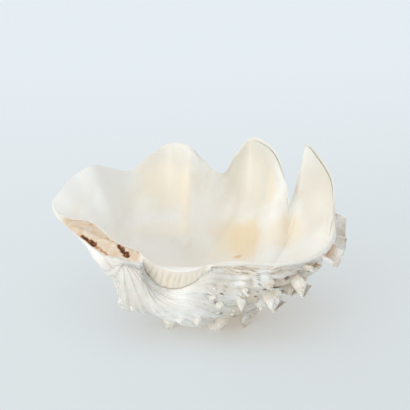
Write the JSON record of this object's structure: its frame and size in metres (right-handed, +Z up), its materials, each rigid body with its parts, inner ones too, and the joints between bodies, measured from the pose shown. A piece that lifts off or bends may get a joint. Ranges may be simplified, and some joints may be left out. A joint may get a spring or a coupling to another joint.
{
  "type": "giant clam shell",
  "caption": "One valve of a fluted giant clam, lying on its outer face with its hollow side up: wavy lips, leaf scales on the ribs, a hinge plate and a byssal gape.",
  "frame": {"origin": "centre of the bounding box, on the surface that the valve lies on", "axes": "+X along the valve's length towards its front end, +Y towards the fluted lips, +Z up out of the hollow"},
  "size_m": [0.2686, 0.1616, 0.1467],
  "materials": {
    "shell": "satin"
  },
  "bodies": {
    "root": {"valve": "shell"}
  },
  "joints": []
}
